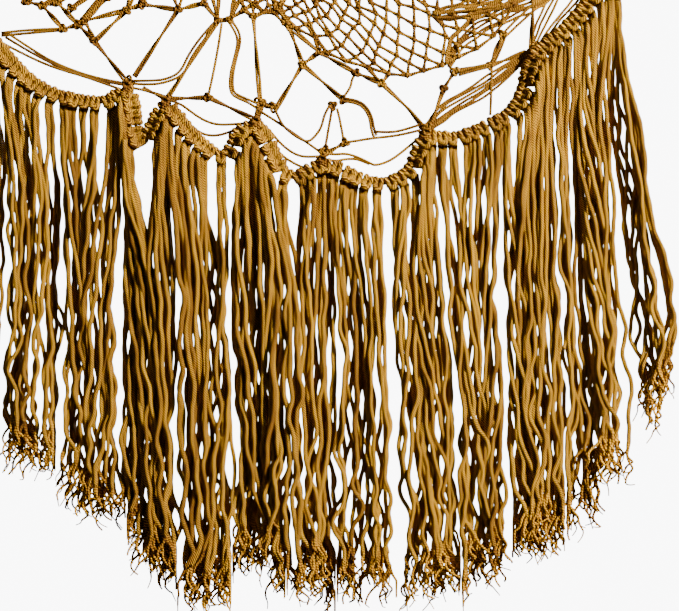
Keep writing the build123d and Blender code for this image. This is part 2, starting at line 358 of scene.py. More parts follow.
def cotton(name, dark, middle, bright, yarns, turn, painted_groove_shade=0.85, relief=0.8):
    """Twisted cotton: slanting yarns round the cord with painted shade in the grooves between them, worn
    tones along it and a soft fuzz.
    """
    n = Nodes(name)
    lay = n.node("ShaderNodeUVMap", uv_map="lay")
    split = n.node("ShaderNodeSeparateXYZ")
    n.link(lay.outputs[0], split.inputs[0])
    around = n.math("MULTIPLY", split.outputs[0], float(yarns))
    phase = n.math("SUBTRACT", around, n.math("MULTIPLY", split.outputs[1], yarns / turn))
    ridge = n.math("SINE", n.math("MULTIPLY", phase, 2 * math.pi))
    ridge = n.math("POWER", n.math("MULTIPLY_ADD", ridge, 0.5, 0.5), 1.3)
    tone = n.node("ShaderNodeAttribute", attribute_name="tone")
    coords = n.node("ShaderNodeTexCoord")
    wear = n.node("ShaderNodeTexNoise")
    wear.inputs["Scale"].default_value = 55.0
    wear.inputs["Detail"].default_value = 3.0
    n.link(coords.outputs["Object"], wear.inputs["Vector"])
    fuzz = n.node("ShaderNodeTexNoise")
    fuzz.inputs["Scale"].default_value = 1400.0
    fuzz.inputs["Detail"].default_value = 2.0
    n.link(coords.outputs["Object"], fuzz.inputs["Vector"])
    level = n.math("MULTIPLY_ADD", n.math("SUBTRACT", wear.outputs["Fac"], 0.5), 0.9, tone.outputs["Fac"])
    # painted shade: the colour is darkened in the grooves between the slanting yarns
    level = n.math("MULTIPLY_ADD", n.math("SUBTRACT", ridge, 0.5), painted_groove_shade, level)
    level = n.math("MULTIPLY_ADD", n.math("SUBTRACT", fuzz.outputs["Fac"], 0.5), 0.5, level)
    ramp = n.node("ShaderNodeValToRGB")
    stops = ramp.color_ramp.elements
    stops[0].position, stops[0].color = 0.0, (*dark, 1)
    stops[1].position, stops[1].color = 1.0, (*bright, 1)
    stops.new(0.5).color = (*middle, 1)
    n.link(n.math("MULTIPLY", level, 0.85), ramp.inputs[0])
    n.link(ramp.outputs[0], n.shader.inputs["Base Color"])
    n.shader.inputs["Roughness"].default_value = 0.82
    n.shader.inputs["Specular IOR Level"].default_value = 0.12
    n.shader.inputs["Sheen Weight"].default_value = 0.08
    n.shader.inputs["Sheen Roughness"].default_value = 0.5
    n.shader.inputs["Sheen Tint"].default_value = (1.0, 0.62, 0.16, 1)
    bump = n.node("ShaderNodeBump")
    bump.inputs["Strength"].default_value = relief
    bump.inputs["Distance"].default_value = 0.0009
    height = n.math("MULTIPLY_ADD", fuzz.outputs["Fac"], 0.5, ridge)
    n.link(height, bump.inputs["Height"])
    n.link(bump.outputs[0], n.shader.inputs["Normal"])
    return n.material


def plain_cord():
    n = Nodes("plain_cord")
    n.shader.inputs["Base Color"].default_value = (*MIDDLE, 1)
    n.shader.inputs["Roughness"].default_value = 0.85
    return n.material


def plain_wire():
    n = Nodes("plain_wire")
    n.shader.inputs["Base Color"].default_value = (0.45, 0.44, 0.42, 1)
    n.shader.inputs["Metallic"].default_value = 1.0
    n.shader.inputs["Roughness"].default_value = 0.35
    return n.material


# the ramp's colours; the painted groove shade pulls the colour toward its dark end
DARK = (0.06, 0.016, 0.001)
MIDDLE = (0.33, 0.138, 0.005)
BRIGHT = (0.78, 0.39, 0.010)
DULL = (0.24, 0.095, 0.005)
STRAND_COTTON = cotton("strand_cotton", DARK, MIDDLE, BRIGHT, yarns=5, turn=STRAND_LAY, painted_groove_shade=1.35)
YARN_COTTON = cotton("yarn_cotton", DARK, MIDDLE, BRIGHT, yarns=2, turn=4.0, relief=0.3)
TWINE_COTTON = cotton("twine_cotton", DARK, DULL, BRIGHT, yarns=2, turn=3.4, painted_groove_shade=0.6)
WRAP_COTTON = cotton("wrap_cotton", DARK, MIDDLE, BRIGHT, yarns=5, turn=STRAND_LAY)
PLAIN_CORD = plain_cord()
PLAIN_WIRE = plain_wire()


# ---------------------------------------------------------------- header and fringe
def header_line():
    route = [at(x, z) for x, z in HEADER_ROUTE]
    return even(smooth_all([route], 16)[0], HEADER_POINT_STEP * MM)


def section_of(x):
    return int(min(SECTIONS - 1, max(0, (x + FRINGE_HALF_WIDTH) // SECTION_WIDTH)))


def front_push(x):
    """How far forward a strand hangs."""
    return sum(FRONT_PUSH * math.exp(-(((x - place) / width) ** 2)) for place, width in FRONT_BUNCHES)


class Knot:
    """One lark's head of two folded cords: where it sits, the lines of its turns and its four tails."""

    def __init__(self, centre, tangent):
        normal = np.array([-tangent[2], 0.0, tangent[0]])
        if normal[2] < 0:
            normal, tangent = -normal, -tangent
        lean = rng.normal(0, KNOT_LEAN)
        along = tangent * math.cos(lean) + normal * math.sin(lean)
        up = normal * math.cos(lean) - tangent * math.sin(lean)
        back = np.array([0.0, 1.0, 0.0])
        self.centre = centre
        self.steep = abs(tangent[2])
        size = rng.uniform(*KNOT_SIZES) + STEEP_KNOT_GROWTH * self.steep
        self.turns, self.tails = [], []
        for squeeze, sink in ((1.0, 0.0), (INNER_KNOT_SQUEEZE, 1.0)):
            halves = []
            for side in (-1, 1):
                half = []
                for t, n, y in HALF_KNOT:
                    place = side * t * squeeze * along + (n - 0.3 * sink) * up + (y + sink) * back
                    half.append(centre + place * size * MM)
                halves.append(half)
            left, right = halves
            self.turns.append(left + right[::-1])
            self.tails += [left[:2][::-1], right[:2][::-1]]
        for tail in self.tails[2:]:
            tail[1] = tail[1] + INNER_TAIL_BACK * back * MM
        self.tone = MIDDLE_TONE + rng.normal(0, 0.1)


def header_knots(header):
    """The lark's heads, section by section."""
    along = lengths_along(header)
    tangents = unit(np.gradient(header, axis=0))
    count = int(along[-1] / (KNOT_PITCH * MM))
    sections = [[] for _ in range(SECTIONS)]
    for i in range(count):
        share = (i + 0.5 + rng.uniform(-KNOT_STRAY, KNOT_STRAY)) / count
        s = int(np.searchsorted(along, share * along[-1]))
        if abs(header[s][0]) < HEADER_REACH * MM:
            sections[section_of(header[s][0] / MM)].append(Knot(header[s], tangents[s]))
    return sections


def kept_within(x, low, high):
    """x, eased so that it stays between low and high."""
    share = (x - (low + high) / 2) / ((high - low) / 2)
    beyond = np.maximum(np.abs(share) - EASE_FROM, 0) / (1 - EASE_FROM)
    eased = np.minimum(np.abs(share), EASE_FROM) + (1 - EASE_FROM) * np.tanh(beyond)
    return (low + high) / 2 + np.sign(share) * eased * (high - low) / 2


def section_edges():
    """Where neighbouring sections meet, as x for a share of the way down: each edge sways."""
    feet = [FRINGE_FEET[0][0] - OUTER_ROOM]
    feet += [(left[1] + right[0]) / 2 for left, right in zip(FRINGE_FEET, FRINGE_FEET[1:])]
    feet += [FRINGE_FEET[-1][1] + OUTER_ROOM]
    edges = []
    for number, foot_x in enumerate(feet):
        top_x = number * SECTION_WIDTH - FRINGE_HALF_WIDTH
        edges.append((top_x, foot_x, wander(EDGE_SWAY, EDGE_ROUGHNESS)))
    return edges


def edge_at(edge, t):
    """An edge's x at the share t of the way down. It starts straight, so the knots keep their places."""
    top_x, foot_x, sway = edge
    return top_x + (foot_x - top_x) * t**FOOT_EASE + sway(t) * min(1, 2 * t)


def strand_routes(knots, foot, edges):
    """Each strand of a section as (points, tone), clump by clump."""
    tails = [(knot, side) for knot in knots for side in range(len(knot.tails))]
    strands, first, number = [], 0, 0
    while first < len(tails):
        size = int(min(rng.integers(*CLUMP_SIZES), len(tails) - first))
        share = float(np.clip((first + size / 2) / len(tails) + rng.normal(0, FOOT_STRAY), 0, 1))
        strands += clump(tails[first : first + size], foot, edges, share, number)
        first += size
        number += 1
    return strands


def wander(size, roughness):
    """A slow random sway along a strand, as a function of the share of its length."""
    waves = []
    for k in range(1, 13):
        height = size * rng.uniform(0.5, 1.0) / (1 + k * roughness)
        waves.append((height, k + rng.uniform(-0.4, 0.4), rng.uniform(0, 1)))
    return lambda t: sum(a * math.sin(2 * math.pi * (f * t + p)) for a, f, p in waves)


def clump(group, foot, edges, share, number):
    """The strands of one clump: they come together below the header and wind slowly round."""
    left_x, right_x, left_z, right_z = foot
    centre_x = np.mean([knot.centre[0] for knot, _ in group]) / MM
    foot_x = left_x + FOOT_INSET + (right_x - left_x - 2 * FOOT_INSET) * share
    foot_z = left_z + (right_z - left_z) * share + rng.uniform(6, 24)
    layer = BACK_LAYER if number % 2 else FRONT_LAYER
    layer = layer + rng.uniform(-1, 1) - front_push(foot_x)
    spread_x = 1.6 + 0.75 * len(group)
    spread_y = min(3.6, 0.8 + 0.9 * len(group))
    turns = rng.uniform(-1.3, 1.3)
    start_turn = rng.uniform(0, 1)
    sway = wander(1.8, 0.7)
    clump_tone = rng.normal(0, 0.09)
    # painted shade and light: strands that end further left get a darker tone and those further right a
    # lighter one, as the key lamp stands on the right
    painted_side_shade = 0.05 * math.tanh((foot_x - 40) / 90)
    made = []
    for order, (knot, side) in enumerate(group):
        tail = knot.tails[side]
        top = tail[1] / MM
        top_z = top[2] - CENTRE_Z
        end_z = foot_z + rng.uniform(2, 22)
        own_x, own_y = wander(1.6, 0.19), wander(0.8, 0.3)
        fan = rng.uniform(-5.5, 5.5)
        front = -(2.2 + 6.5 * knot.steep) - rng.uniform(0, 3.4)
        points = [*tail, at(top[0], top_z - KNOT_DROP, front)]
        for step in range(1, STRAND_STEPS + 1):
            t = step / STRAND_STEPS
            gather = min(1.0, t / GATHER_SHARE)
            gather = gather * gather * (3 - 2 * gather)
            phase = 2 * math.pi * (start_turn + turns * t + order / len(group))
            x = centre_x + (foot_x - centre_x) * t**FOOT_EASE + sway(t) * (0.35 + 1.3 * t**1.5)
            x += spread_x * math.cos(phase) + fan * t**3 + own_x(t) * (0.4 + 1.5 * t**2.5)
            y = layer + spread_y * math.sin(phase) + own_y(t)
            x = top[0] + (x - top[0]) * gather + own_x(t) * 0.6 * (1 - gather)
            margin = STRAND_RADIUS + EDGE_CLEARANCE - EDGE_SLACK * max(0.0, 1 - t / EDGE_SHARE)
            x = kept_within(x, edge_at(edges[0], t) + margin, edge_at(edges[1], t) - margin)
            y = float(np.clip(front + (y - front) * gather, -STRAND_REACH, STRAND_REACH))
            points.append(at(x, top_z - KNOT_DROP + (end_z - top_z + KNOT_DROP) * t, y))
        made.append((points, MIDDLE_TONE + painted_side_shade + clump_tone + rng.normal(0, 0.14)))
    return made


def unravel(skein, line, tone, sides):
    """The strand's end comes apart into plies that curl, some ending in a thin yarn."""
    end, before = line[-1], line[-4]
    down = np.array([0.0, 0.0, -1.0])
    routes, kinds = [], []
    for ply in range(PLIES):
        reach = rng.uniform(*PLY_REACHES)
        wave = rng.uniform(*PLY_WAVES)
        amount = rng.uniform(*PLY_CURLS)
        turn = rng.uniform(0, 2 * math.pi)
        drift = np.array([rng.normal(0, 0.28), rng.normal(0, 0.08), 0.0])
        points = [before, end + np.array([math.cos(2.1 * ply), math.sin(2.1 * ply), 1.0]) * 0.8 * MM]
        count = max(4, int(reach / 2.6))
        for k in range(1, count + 1):
            t = k / count
            angle = turn + 2 * math.pi * reach * t / wave
            curl = np.array([math.cos(angle), 0.5 * math.sin(angle), 0.45 * math.sin(angle)])
            points.append(end + (curl * amount * min(1, 1.4 * t) + (down + drift) * reach * t) * MM)
        routes.append(points)
        kinds.append((*PLY_WIDTHS, tone + rng.normal(0, 0.12)))
        for _ in range(int(rng.integers(0, 2))):
            out = rng.normal(0, 1, 3) * np.array([1.0, 0.5, 0.8])
            bend = rng.normal(0, 1, 3) * np.array([1.0, 0.5, 0.8])
            yarn = [points[-2], points[-1]]
            for k in range(1, 5):
                yarn.append(points[-1] + (out * k * 0.6 + bend * 0.2 * k * k + down * k) * MM)
            routes.append(yarn)
            kinds.append((*YARN_WIDTHS, tone - 0.08 + rng.normal(0, 0.12)))
    for route, (thick, thin, ply_tone) in zip(smooth_all(routes, 4), kinds):
        route[:, 0] = kept_within(route[:, 0], *sides)
        route[:, 1] = np.clip(route[:, 1], -END_REACH * MM, END_REACH * MM)
        width = np.linspace(thick, thin, len(route))
        skein.add(route, width, sides=6, across=(0.3, 1, 0.2), tone=ply_tone)


def section_knots(index, knots):
    skein = Skein()
    turns = smooth_all([turn for knot in knots for turn in knot.turns], 4)
    for number, line in enumerate(turns):
        width = INNER_KNOT_RADIUS if number % 2 else KNOT_RADIUS
        skein.add(line, width, sides=10, plies=PLIES, depth=0.14, tone=knots[number // 2].tone)
    piece = skein.build(f"header_loops_{index:02d}", STRAND_COTTON)
    hand_over(piece, "catcher", "header_cotton", f"header_knots_{index:02d}")


def section(index, knots, foot, edges):
    """One section's strands and their frayed ends: they bend below the header and swing together."""
    body = f"fringe_{index:02d}"
    hanging, ends, free = Skein(), Skein(), []
    sides = [(edge_at(edge, 1.0) + inward) * MM for edge, inward in zip(edges, (1, -1))]
    strands = strand_routes(knots, foot, edges)
    lines = smooth_all([points for points, _ in strands], 5)
    for number, (line, (_, tone)) in enumerate(zip(lines, strands)):
        line = even(line, STRAND_POINT_STEP * MM)
        width = STRAND_RADIUS * rng.uniform(0.86, 1.08)
        width += FRONT_THICKENING * front_push(line[-1][0] / MM)
        skein = hanging
        if number in DECLARED:
            skein = Skein()
            free.append((skein, line))
        skein.add(line, width, sides=10, plies=PLIES, depth=0.2, tone=tone)
        unravel(ends, line, tone, sides)
    strand_piece = hanging.build(f"strands_{index:02d}", STRAND_COTTON)
    end_piece = ends.build(f"frayed_ends_{index:02d}", YARN_COTTON)
    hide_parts(body)
    pieces = [strand_piece]
    for number, (skein, line) in enumerate(free, 1):
        cord = skein.build(f"cord_{index:02d}_{number}", STRAND_COTTON)
        pieces.append(cord)
    for piece in pieces:
        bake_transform(piece)
    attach(end_piece, body)


def fringe(header):
    edges = section_edges()
    for index, (knots, foot) in enumerate(zip(header_knots(header), FRINGE_FEET), 1):
        section_knots(index, knots)
        section(index, knots, foot, edges[index - 1 : index + 1])


def header_cord(header):
    skein = Skein()
    skein.add(header[::4], HEADER_CORD_RADIUS, sides=8, across=(0, 1, 0), tone=0.35)
    piece = skein.build("header_carrier", TWINE_COTTON)
    hand_over(piece, "catcher", "header_cotton", "header_cord")


# ---------------------------------------------------------------- web
class Web:
    """Twine runs gathered first, then smoothed together and built as one piece."""

    def __init__(self):
        self.routes, self.tones = [], []

    def run(self, points, depth=0.0, tone=None):
        """One twine through (x, z) or (x, z, y) points, moved back by depth."""
        places = [at(p[0], p[1], (p[2] if len(p) > 2 else 0.0) + depth) for p in points]
        self.routes.append(places)
        self.tones.append(0.45 + rng.normal(0, 0.1) if tone is None else tone)

    def pair(self, points, gap=1.15, turns=0.5, steps=5):
        """Two twines side by side, slowly crossing over each other."""
        start, end = np.array(points[0][:2], float), np.array(points[-1][:2], float)
        count = steps if len(points) == 2 else 3
        dense = []
        for a, b in zip(points, points[1:]):
            for k in range(count):
                dense.append(np.array(a[:2]) + (np.array(b[:2]) - np.array(a[:2])) * k / count)
        dense.append(end)
        across = unit(np.array([-(end - start)[1], (end - start)[0]]))
        lean = rng.uniform(0, 0.15)
        for side in (-1, 1):
            twine = []
            for k, p in enumerate(dense):
                phase = 2 * math.pi * (lean + turns * k / (len(dense) - 1))
                shift = side * gap * math.cos(phase)
                twine.append((*(p + across * shift), side * gap * math.sin(phase)))
            self.run(twine)

    def bundle(self, points, count, spread):
        """Several twines side by side, drawn together at both ends."""
        points = np.array(points, float)
        span = points[-1] - points[0]
        across = unit(np.array([-span[1], span[0]]))
        shares = np.linspace(0, 1, 3 * len(points) - 2)
        corners = np.linspace(0, 1, len(points))
        middle = np.stack([np.interp(shares, corners, points[:, k]) for k in range(2)], axis=1)
        for k in range(count):
            place = (2 * k / (count - 1) - 1) * spread
            sway, lift = wander(0.22 * spread, 0.6), rng.uniform(-1.2, 1.2)
            twine = []
            for share, p in zip(shares, middle):
                opened = 0.3 + 0.7 * math.sin(math.pi * share) ** 0.7
                twine.append((*(p + across * (place * opened + sway(share))), lift))
            self.run(twine)

    def knot(self, x, z, size, count=18):
        """A small overhand knot of twine."""
        turn, tilt = rng.uniform(0, 2 * math.pi), rng.uniform(-0.5, 0.5)
        points = []
        for k in range(count + 1):
            t = 2 * math.pi * k / count
            a = (math.sin(t) + 2 * math.sin(2 * t)) / 3 * size
            b = (math.cos(t) - 2 * math.cos(2 * t)) / 3 * size * (1 + 0.3 * tilt)
            points.append((
                x + a * math.cos(turn) - b * math.sin(turn),
                z + a * math.sin(turn) + b * math.cos(turn),
                KNOT_FRONT - math.sin(3 * t) * size / 2.6,
            ))
        self.run(points, tone=MIDDLE_TONE + rng.normal(0, 0.1))

    def build(self, name, replaced, sides=7, resolution=4):
        skein = Skein()
        for line, tone in zip(smooth_all(self.routes, resolution), self.tones):
            skein.add(line, TWINE_RADIUS, sides=sides, across=(0.05, 1, 0.02), tone=tone)
        hand_over(skein.build(name, TWINE_COTTON), "catcher", "web_twine", *replaced)


KNOT_FRONT = -0.8
HUB_RADIUS = 17.6
NET_INNER = 32  # knots in each open round at the hub
NET_INNER_RADII = (22, 35, 50, 65)
NET_OUTER = 96  # knots in each close round
NET_ROUNDS = 14
NET_START = 80  # radius of the first close round
NET_STRAY = 1.3
NET_GAP = 0.65
NET_KNOT_SIZE = 1.6
# How far the dense net reaches from the hub, (degrees, radius).
NET_EDGE = [
    (0, 142),
    (180, 142),
    (198, 138),
    (222, 148),
    (240, 126),
    (255, 120),
    (263, 124),
    (270, 133),
    (277, 141),
    (283, 160),
    (290, 180),
    (297, 196),
    (303, 203),
    (308, 207),
    (316, 212),
    (322, 212),
    (330, 203),
    (342, 170),
    (360, 142),
]


def net_knots():
    """The dense net: a few open rounds at the hub, then many close ones."""
    inner = []
    for number, radius in enumerate(NET_INNER_RADII):
        step = 360 / NET_INNER
        inner.append([polar(radius, (i + 0.5 * (number % 2)) * step) for i in range(NET_INNER)])
    outer = []
    for number in range(NET_ROUNDS):
        knots = []
        for i in range(NET_OUTER):
            degrees = (i + 0.5 * (number % 2)) * 360 / NET_OUTER
            edge = between(NET_EDGE, degrees)
            radius = NET_START + (edge - NET_START) * (number / (NET_ROUNDS - 1)) ** 0.95
            x, z = polar(radius, degrees)
            knots.append((x + rng.normal(0, NET_STRAY), z + rng.normal(0, NET_STRAY)))
        outer.append(knots)
    return inner, outer


def dense_net():
    """The netting round the hub. Returns its outermost knots."""
    web, knots = Web(), Web()
    inner, outer = net_knots()
    web.run([polar(HUB_RADIUS, 12 * i) for i in range(31)])
    for rounds, count in ((inner, NET_INNER), (outer, NET_OUTER)):
        for number, (near, far) in enumerate(zip(rounds, rounds[1:])):
            for i, knot in enumerate(near):
                for j in (i, i - 1 + 2 * (number % 2)):
                    web.pair([knot, far[j % count]], gap=NET_GAP, steps=2)
    fan = NET_OUTER // NET_INNER
    for i, knot in enumerate(inner[-1]):
        for j in range(fan + 1):
            web.run([knot, outer[0][(fan * i + j) % NET_OUTER]])
    for i, knot in enumerate(outer[-1]):
        web.pair([knot, outer[-1][i - 1]], gap=NET_GAP, steps=2)
    for ring in inner + outer:
        for x, z in ring:
            knots.knot(x, z, NET_KNOT_SIZE, count=10)
    replaced = ["web_hub"] + [f"web_round_{number}" for number in range(1, 5)]
    web.build("web_net", replaced, sides=5, resolution=2)
    knots.build("web_net_knots", ["web_knots_inner"], sides=5, resolution=2)
    return outer[-1]


# Knots of the open lower web, (x, z).
LOWER_KNOTS = {
    "left_far": (-214, -92),
    "left_low": (-158, -140),
    "left_2": (-147, -137),
    "left_3": (-142, -134),
    "left_mid": (-135, -149),
    "far_1": (-185, -120),
    "far_2": (-173, -123),
    "far_3": (-162, -121),
    "far_4": (-152, -125),
    "top_1": (-126, -117),
    "row_1": (-111, -126),
    "row_2": (-100, -122),
    "row_3": (-74, -126),
    "row_4": (-55, -121),
    "row_5": (-45, -134),
    "row_6": (-36, -133),
    "row_7": (-26, -126),
    "row_8": (-19, -131),
    "row_9": (-1, -125),
    "row_10": (7, -138),
    "mid_1": (17, -166),
    "mid_2": (39, -196),
    "mid_3": (47, -192),
    "mid_4": (48, -223),
    "mid_5": (29, -157),
    "mid_6": (56, -172),
    "mid_7": (75, -180),
    "right_1": (120, -184),
    "right_2": (128, -171),
    "right_3": (154, -167),
    "right_4": (163, -144),
    "right_5": (186, -106),
    "tie_left": (-110, -178),
    "tie_middle_left": (-14, -194),
    "tie_middle_right": (-4, -197),
    "tie_low": (33, -229),
    "tie_right": (107, -212),
    "tie_far": (185, -156),
    "low_left": (-82, -191),
    "low_fold": (-52, -190),
}
# Pairs of twines from knot to knot, and how often each pair crosses over itself.
PAIRS = [
    (["far_1", "far_2", "far_3"], 1.0),
    (["far_2", "left_low"], 0.6),
    (["far_3", "left_2"], 0.6),
    (["left_low", "left_2", "left_3"], 1.1),
    (["top_1", "left_3"], 0.8),
    (["row_1", "left_mid"], 0.5),
    (["left_3", "left_mid"], 0.5),
    (["left_2", "left_mid"], 0.5),
    (["left_3", "row_1"], 0.5),
    (["left_mid", (-112, -178)], 0.5),
    (["row_3", (-106, -175)], 0.5),
    (["row_5", "low_left"], 0.4),
    (["low_fold", "low_left"], 0.5),
    (["low_fold", (-18, -206)], 0.5),
    (["low_left", (-100, -183)], 0.4),
    (["row_8", (-14, -193)], 0.5),
    (["row_1", "row_2"], 0.6),
    (["row_2", "row_3"], 0.6),
    (["row_3", "row_4"], 0.6),
    (["row_4", "row_5", "row_6"], 0.6),
    (["row_6", "row_7", "row_8"], 0.6),
    (["row_8", "row_9"], 0.6),
    (["row_9", "row_10", "mid_5"], 0.6),
    (["row_10", "mid_1"], 0.5),
    (["mid_1", "mid_5"], 0.6),
    (["mid_5", "mid_6"], 0.6),
    (["mid_1", "mid_3"], 0.5),
    (["mid_1", (-3, -199)], 0.5),
    (["mid_4", (34, -231)], 0.5),
    (["mid_6", "mid_7"], 0.6),
    (["mid_7", (95, -199), (106, -213)], 0.4),
    (["right_1", (113, -203), (106, -214)], 0.5),
    (["right_1", "right_2", "right_3"], 0.6),
    (["right_3", (180, -157)], 0.5),
    (["right_3", "right_4"], 0.8),
]
# Single twines: slack ones to the ties, and the loops between them.
SINGLES = [
    [(-200, -142), (-178, -157), (-160, -167), (-131, -177), (-111, -180)],
    [(-200, -146), (-179, -159), (-158, -169), (-133, -178), (-113, -181)],
    [(-201, -151), (-182, -161), (-163, -169), (-138, -176), (-114, -185)],
    [(-158, -140), (-180, -140), (-203, -143)],
    [(-158, -141), (-181, -143), (-203, -145)],
    [(-47, -135), (-54, -142), (-66, -158), (-72, -172), (-83, -177), (-94, -178), (-107, -178)],
    [(-45, -137), (-52, -144), (-64, -160), (-70, -174), (-82, -179), (-94, -181), (-108, -180)],
    [(-35, -134), (-30, -140), (-28, -149), (-31, -160), (-34, -173), (-34, -185), (-31, -188),
     (-24, -191), (-15, -195)],
    [(-37, -135), (-32, -142), (-30, -150), (-33, -162), (-36, -174), (-36, -187), (-30, -191),
     (-22, -194), (-15, -199)],
    [(-46, -136), (-60, -160), (-84, -191)],
    [(-42, -136), (-45, -160), (-52, -190)],
    [(-82, -191), (-97, -184), (-109, -183)],
    [(-81, -192), (-73, -194), (-64, -201), (-55, -207), (-46, -210), (-36, -210), (-24, -209)],
    [(-82, -199), (-77, -204), (-69, -209), (-61, -214), (-53, -218), (-44, -218), (-35, -215),
     (-28, -212), (-18, -209)],
    [(-3, -199), (1, -209), (7, -215), (14, -220), (21, -223), (26, -219), (31, -212), (33, -202),
     (37, -196)],
    [(-16, -199), (-11, -202), (6, -213), (30, -230)],
    [(-16, -206), (-8, -213), (1, -224), (10, -231), (19, -234), (30, -233)],
    [(-17, -209), (-13, -215), (-6, -222), (1, -232), (10, -238), (21, -243), (28, -241)],
    [(42, -198), (44, -204), (47, -222)],
    [(39, -196), (36, -212), (33, -230)],
    [(48, -223), (56, -222), (67, -220), (88, -218), (103, -214)],
    [(48, -193), (56, -194), (62, -198), (66, -205), (67, -214), (69, -219)],
    [(48, -191), (57, -192), (64, -197), (68, -205), (69, -213), (71, -218)],
    [(69, -215), (80, -216), (91, -214), (103, -210)],
    [(33, -231), (40, -232), (49, -231), (58, -234), (66, -238), (70, -240), (80, -237), (90, -230),
     (104, -218)],
    [(33, -235), (40, -237), (49, -235), (58, -235), (66, -239)],
    [(56, -172), (53, -176), (52, -184), (45, -192)],
    [(131, -174), (140, -171), (153, -168)],
    [(130, -172), (140, -168), (153, -166)],
    [(155, -165), (160, -156), (163, -147)],
    [(157, -165), (162, -155), (165, -146)],
    [(155, -168), (155, -185), (154, -203)],
    [(163, -144), (177, -128), (196, -114)],
    [(164, -147), (174, -137), (189, -124)],
]
# Gathered twines: their middle line, how many there are and how far they spread each way.
BUNDLES = [
    ([(-109, -176), (-110, -181), (-111, -187)], 5, 1.9),
    ([(-82, -190), (-83, -194), (-83, -199)], 5, 1.7),
    ([(-12, -192), (-15, -199), (-17, -209)], 5, 1.8),
    ([(-14, -194), (-9, -196), (-3, -197)], 4, 1.3),
    ([(33, -227), (32, -233), (32, -239)], 4, 1.8),
    ([(106, -210), (107, -214), (107, -219)], 5, 2.0),
    ([(182, -158), (155, -179), (124, -198), (107, -213)], 6, 5.6),
    ([(184, -154), (191, -137), (200, -119), (212, -90), (226, -70)], 3, 3.4),
    ([(187, -157), (205, -134), (218, -119), (233, -88)], 3, 3.0),
    ([(124, -168), (128, -150), (147, -135), (170, -124), (191, -117), (208, -100)], 7, 8.0),
    ([(112, -130), (140, -126), (168, -120), (198, -108)], 7, 7.0),
]


TIED_TO_NET = ("row", "top", "far", "left_2", "left_3", "mid_5", "mid_7")  # how their names start
LOWER_KNOT_SIZE = 3.2
TIE_KNOT_SIZE = 4.2

UPPER_RADII = (174, 212)
UPPER_KNOT_SIZE = 2.7
HITCH_RING = 249
WEB_STEP = 18  # degrees between the knots of a large round
# Pairs that close the upper web's lowest cells, to the lower web and its ties.
UPPER_FEET = [
    ((-158, -25), (-214, -92)),
    ((-214, -92), (-212, -142)),
    ((-246, -39), (-214, -92)),
    ((158, -25), (186, -106)),
    ((186, -106), (184, -156)),
    ((246, -39), (186, -106)),
]


def nearest_first(places, x, z):
    return sorted(places, key=lambda k: (k[0] - x) ** 2 + (k[1] - z) ** 2)


def lower_web(net_edge):
    """The open web between the dense net and the header."""
    web, knots = Web(), Web()
    for stops, turns in PAIRS:
        web.pair([LOWER_KNOTS.get(s, s) if isinstance(s, str) else s for s in stops], turns=turns)
    for points in SINGLES:
        web.run(points, depth=-1.0 + rng.normal(0, 0.5))
    for points, count, spread in BUNDLES:
        web.bundle(points, count, spread)
    for name, (x, z) in LOWER_KNOTS.items():
        knots.knot(x, z, TIE_KNOT_SIZE if name.startswith("tie") else LOWER_KNOT_SIZE)
        if name.startswith(TIED_TO_NET):
            for other in nearest_first(net_edge, x, z)[:2]:
                web.pair([(x, z), other], gap=0.8)
    web.build("web_lower", ["web_lower_runs"], resolution=5)
    knots.build("web_lower_knots", ["web_knots_lower"], resolution=3)


def ring_knots(radius, shifted):
    """A large round's knots as (place, degrees)."""
    turned = [(i + 0.5 * shifted) * WEB_STEP for i in range(360 // WEB_STEP)]
    return [(polar(radius, degrees), degrees) for degrees in turned]


def is_upper(degrees):
    return degrees < 194 or degrees > 346


def upper_web(net_edge):
    """The large cells between the dense net and the hoop."""
    web, knots = Web(), Web()
    first, second = ring_knots(UPPER_RADII[0], 1), ring_knots(UPPER_RADII[1], 0)
    for place, degrees in first:
        if is_upper(degrees):
            for other in nearest_first(net_edge, *place)[:3]:
                web.pair([other, place])
            knots.knot(*place, UPPER_KNOT_SIZE)
    for place, degrees in second:
        if is_upper(degrees):
            for beside, beside_degrees in first + ring_knots(HITCH_RING, 1):
                apart = abs((beside_degrees - degrees + 180) % 360 - 180)
                if apart < 0.6 * WEB_STEP and is_upper(beside_degrees):
                    web.pair([beside, place])
            knots.knot(*place, UPPER_KNOT_SIZE)
    for ends in UPPER_FEET:
        web.pair(ends)
    web.build("web_upper", ["web_round_5", "web_round_6"])
    knots.build("web_upper_knots", ["web_knots_outer"])


# ---------------------------------------------------------------- hoop, ties and loop
WRAP_PITCH = 3.6
WRAP_DEPTH = 1.5  # the wrap's cord is wound this far inside the wrap's outside
WRAP_CORD_RADIUS = 1.85
LASHING_TURNS = 9
LASHING_HALF_ARC = 2.2  # degrees
HITCH_TURNS = 3
HITCH_HALF_ARC = 0.55
OVER_WRAP = 1.0  # lashings and hitches are wound this far outside the wrap
ALONG_HOOP = (0.01, 0.02, 1)


def coil(centre_of, turns, radius):
    """Points of a cord wound round a line: centre_of(share) gives (point, tangent)."""
    points = []
    steps = int(turns * 12)
    for k in range(steps + 1):
        share = k / steps
        centre, tangent = centre_of(share)
        normal = np.array([-tangent[2], 0.0, tangent[0]])
        angle = 2 * math.pi * turns * share
        offset = math.cos(angle) * normal + math.sin(angle) * np.array([0.0, 1.0, 0.0])
        points.append(centre + offset * radius * MM)
    return np.array(points)


def on_hoop(from_degrees, to_degrees):
    def centre_of(share):
        degrees = from_degrees + (to_degrees - from_degrees) * share
        x, z = polar(HOOP_RADIUS, degrees)
        return at(x, z), unit(np.array([-z, 0.0, x]))

    return centre_of


